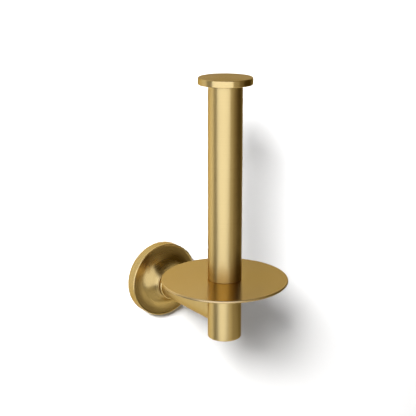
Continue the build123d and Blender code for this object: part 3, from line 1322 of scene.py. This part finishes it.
@dataclass
class Studio:
    """The wall, floor, lights, surroundings and camera.

    Attributes:
        wall_radius: Radius of the wall.
        wall_gap: Wall's distance behind the holder's back.
        wall_tones: The two tones of the wall's paint.
        wall_roughness: Roughness of that paint.
        wall_bounce: Colour that the wall gives back to the metal.
        wall_glow: Even light that the wall gives back to the metal.
        far_bounce: Share of both that is left away from the holder.
        bounce_reach: Distances to the side between which they fall to that share.
        high_bounce: Share of both that is left above the holder.
        high_reach: Heights between which they fall to that share.
        wall_lift: Light that lifts the wall to an even white far away.
        lit_reach: Distances between which it comes in.
        floor_radius: Radius of the floor.
        floor_drop: Floor's depth below the holder.
        floor_tones: The two tones of the floor.
        floor_roughness: Roughness of the floor.
        floor_lift: Light that lifts the floor to an even tone.
        room_tone: Tone of the surroundings where they show.
        room_light: Light of the surroundings on the metal.
        lights: The soft lights.
        camera_azimuth: Degrees from straight out of the wall, towards +X.
        camera_elevation: Degrees above the horizon.
        camera_distance: Distance from the aim point.
        aim_offset: The aim point's place beside the post's axis.
        aim_height: The aim point's height.
        lens: Focal length in millimetres.
        sensor: Sensor's width in millimetres.
        lens_shift: Upward shift of the lens, as a share of the picture's side.
    """

    wall_radius: float = 3.0
    wall_gap: float = 0.2 * MM
    wall_tones: Tuple[Colour, Colour] = ((0.88, 0.88, 0.88), (0.90, 0.90, 0.90))
    wall_roughness: float = 0.9
    wall_bounce: Colour = (0.27, 0.27, 0.27)
    wall_glow: float = 0.49
    far_bounce: float = 0.3
    bounce_reach: Tuple[float, float] = (0.11, 0.20)
    high_bounce: float = 0.65
    high_reach: Tuple[float, float] = (0.11, 0.18)
    wall_lift: float = 0.8
    lit_reach: Tuple[float, float] = (0.5, 1.0)
    floor_radius: float = 30.0
    floor_drop: float = 1.3
    floor_tones: Tuple[Colour, Colour] = ((0.80, 0.80, 0.80), (0.83, 0.83, 0.82))
    floor_roughness: float = 0.8
    floor_lift: float = 0.85
    room_tone: Colour = (0.9, 0.9, 0.9)
    room_light: Colour = (0.085, 0.056, 0.012)
    lights: Sequence[StudioLight] = (
        StudioLight("key", -48.5, 30.0, 1.2, 0.40, 0.40, 168.0, Reach.STAGE, cone=110.0),
        StudioLight("fill", -20.0, 50.0, 1.6, 1.8, 1.8, 12.5, Reach.STAGE, (0.88, 0.97, 1.12)),
        StudioLight(
            "window",
            azimuth=-49.0,
            elevation=3.0,
            distance=0.9,
            width=1.84,
            height=1.28,
            power=9.2,
            reach=Reach.GLOSS,
            colour=(1.0, 1.12, 1.50),
            panel=Panel.ROUND,
        ),
        StudioLight("low_glow", -30.0, -55.0, 1.0, 1.4, 0.8, 1.6, Reach.GLOSS, (1.0, 0.98, 0.85)),
        StudioLight("near_glow", 6.0, 0.0, 0.9, 0.5, 1.6, 1.1, Reach.GLOSS, (1.0, 0.98, 0.9)),
        StudioLight("floor_glow", 62.0, -50.0, 0.9, 0.7, 0.7, 0.9, Reach.GLOSS, (1.0, 0.98, 0.85)),
        StudioLight("far_glow", 32.0, 0.0, 0.9, 0.4, 1.6, 0.3, Reach.GLOSS, (1.0, 0.9, 0.7)),
        StudioLight("rear", 160.0, 20.0, 1.2, 1.0, 1.0, 14.0, Reach.BOTH),
    )
    camera_azimuth: float = -35.67
    camera_elevation: float = 14.12
    camera_distance: float = 0.6301
    aim_offset: Tuple[float, float] = (-0.0088, 0.0063)
    aim_height: float = 0.0917
    lens: float = 85.95
    sensor: float = 36.0
    lens_shift: float = -0.08

    def build(self) -> None:
        """Build the whole stage."""
        low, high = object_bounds()
        self.hang_wall()
        self.lay_floor()
        for light in self.lights:
            light.build((low + high) / 2)
        self.fill_room()
        self.place_camera()
        bpy.context.scene.view_settings.view_transform = "Standard"

    def hang_wall(self) -> None:
        """Hang the plain wall, open behind the flange so that the bracket's back is lit."""
        low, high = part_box("wall_bracket")
        turned = Matrix.Rotation(math.radians(90), 4, "X")
        place = Matrix.Translation((0, self.wall_gap, 0)) @ turned
        opening = (high.x - low.x) / 2
        self.lay_sheet("wall", place, opening, self.wall_radius, self.mix_wall_paint())

    def mix_wall_paint(self) -> bpy.types.Material:
        """Mix the wall's paint, which shows from its front only.

        Returns:
            The material, which shows white and gives back less light than it shows.
        """
        material = bpy.data.materials.new("plain_wall")
        nodes = Nodes(material)
        place = nodes.object_place()
        split = nodes.add("ShaderNodeSeparateXYZ")
        nodes.link(place, split.inputs[0])
        seen = nodes.add("ShaderNodeLightPath").outputs["Is Camera Ray"]
        # painted light pool: the wall's bounce and glow fade away from the holder, beside it and
        # above it
        sideways = nodes.maths("ABSOLUTE", split.outputs["X"])
        beside = nodes.span(sideways, 1.0, self.far_bounce, self.bounce_reach)
        above = nodes.span(split.outputs["Z"], 1.0, self.high_bounce, self.high_reach)
        near = nodes.maths("MULTIPLY", beside, above)
        distant = nodes.span(nodes.length(place), 0.0, self.wall_lift, self.lit_reach)

        shown = nodes.blend(nodes.noise(place, 3.0, 2.0), *self.wall_tones)
        bounce = nodes.blend(near, (0.0, 0.0, 0.0), self.wall_bounce)
        # painted reflection: the wall glows for every ray but the camera's, so the metal reflects
        # more light than the lamps give the wall
        glow = nodes.maths("MULTIPLY", near, nodes.span(seen, self.wall_glow, 0.0))
        lift = nodes.maths("MULTIPLY", distant, seen)
        paint = nodes.add("ShaderNodeBsdfPrincipled")
        paint.inputs["Roughness"].default_value = self.wall_roughness
        nodes.link(nodes.blend(seen, bounce, shown), paint.inputs["Base Color"])
        nodes.link(nodes.maths("ADD", glow, lift), paint.inputs["Emission Strength"])

        choose = nodes.add("ShaderNodeMixShader")
        nodes.link(nodes.add("ShaderNodeNewGeometry").outputs["Backfacing"], choose.inputs[0])
        nodes.link(paint.outputs[0], choose.inputs[1])
        nodes.link(nodes.add("ShaderNodeBsdfTransparent").outputs[0], choose.inputs[2])
        nodes.show(choose.outputs[0])
        return material

    def lay_floor(self) -> None:
        """Lay the pale floor."""
        material = bpy.data.materials.new("pale_floor")
        nodes = Nodes(material)
        tone = nodes.blend(nodes.noise(nodes.object_place(), 2.0, 2.0), *self.floor_tones)
        seen = nodes.add("ShaderNodeLightPath").outputs["Is Camera Ray"]
        paint = nodes.add("ShaderNodeBsdfPrincipled")
        paint.inputs["Roughness"].default_value = self.floor_roughness
        nodes.link(tone, paint.inputs["Base Color"])
        nodes.link(tone, paint.inputs["Emission Color"])
        nodes.link(nodes.span(seen, 0.0, self.floor_lift), paint.inputs["Emission Strength"])
        nodes.show(paint.outputs[0])
        place = Matrix.Translation((0, 0, -self.floor_drop))
        self.lay_sheet("floor", place, 0.0, self.floor_radius, material)

    def lay_sheet(
        self,
        name: str,
        place: Matrix,
        opening: float,
        reach: float,
        material: bpy.types.Material,
        steps: int = 96,
    ) -> None:
        """Lay one flat round stage sheet.

        Args:
            name: The sheet's name.
            place: Where it lies.
            opening: Radius of the opening in its middle, or 0.
            reach: Its outer radius.
            material: Its material.
            steps: Number of segments round it.
        """
        sheet_work = bmesh.new()
        ends = [sheet_work.verts.new((radius, 0, 0)) for radius in (opening, reach)]
        line = sheet_work.edges.new(ends)
        bmesh.ops.spin(
            sheet_work,
            geom=[*ends, line],
            cent=(0, 0, 0),
            axis=(0, 0, 1),
            angle=2 * math.pi,
            steps=steps,
            use_merge=True,
        )
        bmesh.ops.remove_doubles(sheet_work, verts=sheet_work.verts[:], dist=MERGE_GAP)
        bmesh.ops.recalc_face_normals(sheet_work, faces=sheet_work.faces[:])
        if sheet_work.faces[:][0].normal.z < 0:
            bmesh.ops.reverse_faces(sheet_work, faces=sheet_work.faces[:])
        bmesh.ops.transform(sheet_work, matrix=place, verts=sheet_work.verts[:])
        mesh = bpy.data.meshes.new(name)
        sheet_work.to_mesh(mesh)
        sheet_work.free()
        sheet = bpy.data.objects.new(name, mesh)
        bpy.context.scene.collection.objects.link(sheet)
        sheet.data.materials.append(material)
        sheet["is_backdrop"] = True

    def fill_room(self) -> None:
        """Surround the stage with an even room that shows pale and lights the metal dimly."""
        world = bpy.data.worlds.new("room")
        bpy.context.scene.world = world
        world.use_nodes = True
        tree = world.node_tree
        tree.nodes.clear()
        shown = tree.nodes.new("ShaderNodeBackground")
        shown.inputs["Color"].default_value = (*self.room_tone, 1)
        dim = tree.nodes.new("ShaderNodeBackground")
        dim.inputs["Color"].default_value = (*self.room_light, 1)
        path = tree.nodes.new("ShaderNodeLightPath")
        mix = tree.nodes.new("ShaderNodeMixShader")
        out = tree.nodes.new("ShaderNodeOutputWorld")
        tree.links.new(path.outputs["Is Camera Ray"], mix.inputs[0])
        tree.links.new(dim.outputs[0], mix.inputs[1])
        tree.links.new(shown.outputs[0], mix.inputs[2])
        tree.links.new(mix.outputs[0], out.inputs["Surface"])

    def place_camera(self) -> None:
        """Place the camera and make it the scene's own."""
        post = spindle_axis(Spindle.POST).origin
        aim = Vector((self.aim_offset[0], post.y + self.aim_offset[1], self.aim_height))
        away = direction(self.camera_azimuth, self.camera_elevation)
        lens = bpy.data.cameras.new("camera")
        lens.lens = self.lens
        lens.sensor_width = self.sensor
        lens.shift_y = self.lens_shift
        lens.clip_start = 10 * MM
        camera = bpy.data.objects.new("camera", lens)
        camera.location = aim + away * self.camera_distance
        camera.rotation_euler = away.to_track_quat("Z", "Y").to_euler()
        bpy.context.scene.collection.objects.link(camera)
        bpy.context.scene.camera = camera


def main() -> None:
    """Build the holder's sub-assemblies in order, then the stage."""
    logging.basicConfig(level=logging.INFO, format="%(message)s")
    # brass for the flange, its colour partly the metal's own and partly painted shade: darker than
    # the post's, to dim the flange's highlight
    flange_brass = TurnedBrass(
        "flange_brass",
        Spindle.ARM,
        colour=(0.59, 0.43, 0.165),
        deep_colour=(0.49, 0.345, 0.125),
        roughness=0.28,
        stretch=0.5,
    )
    post_brass = TurnedBrass("post_brass", Spindle.POST)
    # brass for the cap, with a darker colour and duller glancing tint than the post's: painted
    # shade that darkens the cap's top
    cap_brass = TurnedBrass(
        "cap_brass",
        Spindle.POST,
        colour=(0.61, 0.44, 0.175),
        deep_colour=(0.54, 0.38, 0.14),
        roughness=0.23,
        rim_tint=(0.60, 0.45, 0.20),
    )
    # brass for the tray, toned darker than the post's: painted shade that dims the reflection on
    # its top
    plate_brass = TurnedBrass(
        "plate_brass",
        Spindle.POST,
        colour=(0.575, 0.418, 0.225),
        deep_colour=(0.51, 0.362, 0.175),
        roughness=0.23,
        edge_polish=-0.25,
        rim_tint=(0.60, 0.45, 0.22),
    )
    parts = (
        WallEnd(flange_brass),
        Arm(TurnedBrass("arm_tube_brass", Spindle.ARM)),
        Post(post_brass, plate_brass, cap_brass),
        Hardware(HARDWARE),
    )
    for part in parts:
        part.build()
        log.info("built %s", type(part).__name__)
    Studio().build()
    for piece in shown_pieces():
        log.info("piece %s: %d faces", piece.name, len(piece.data.polygons))


if __name__ == "__main__":
    main()
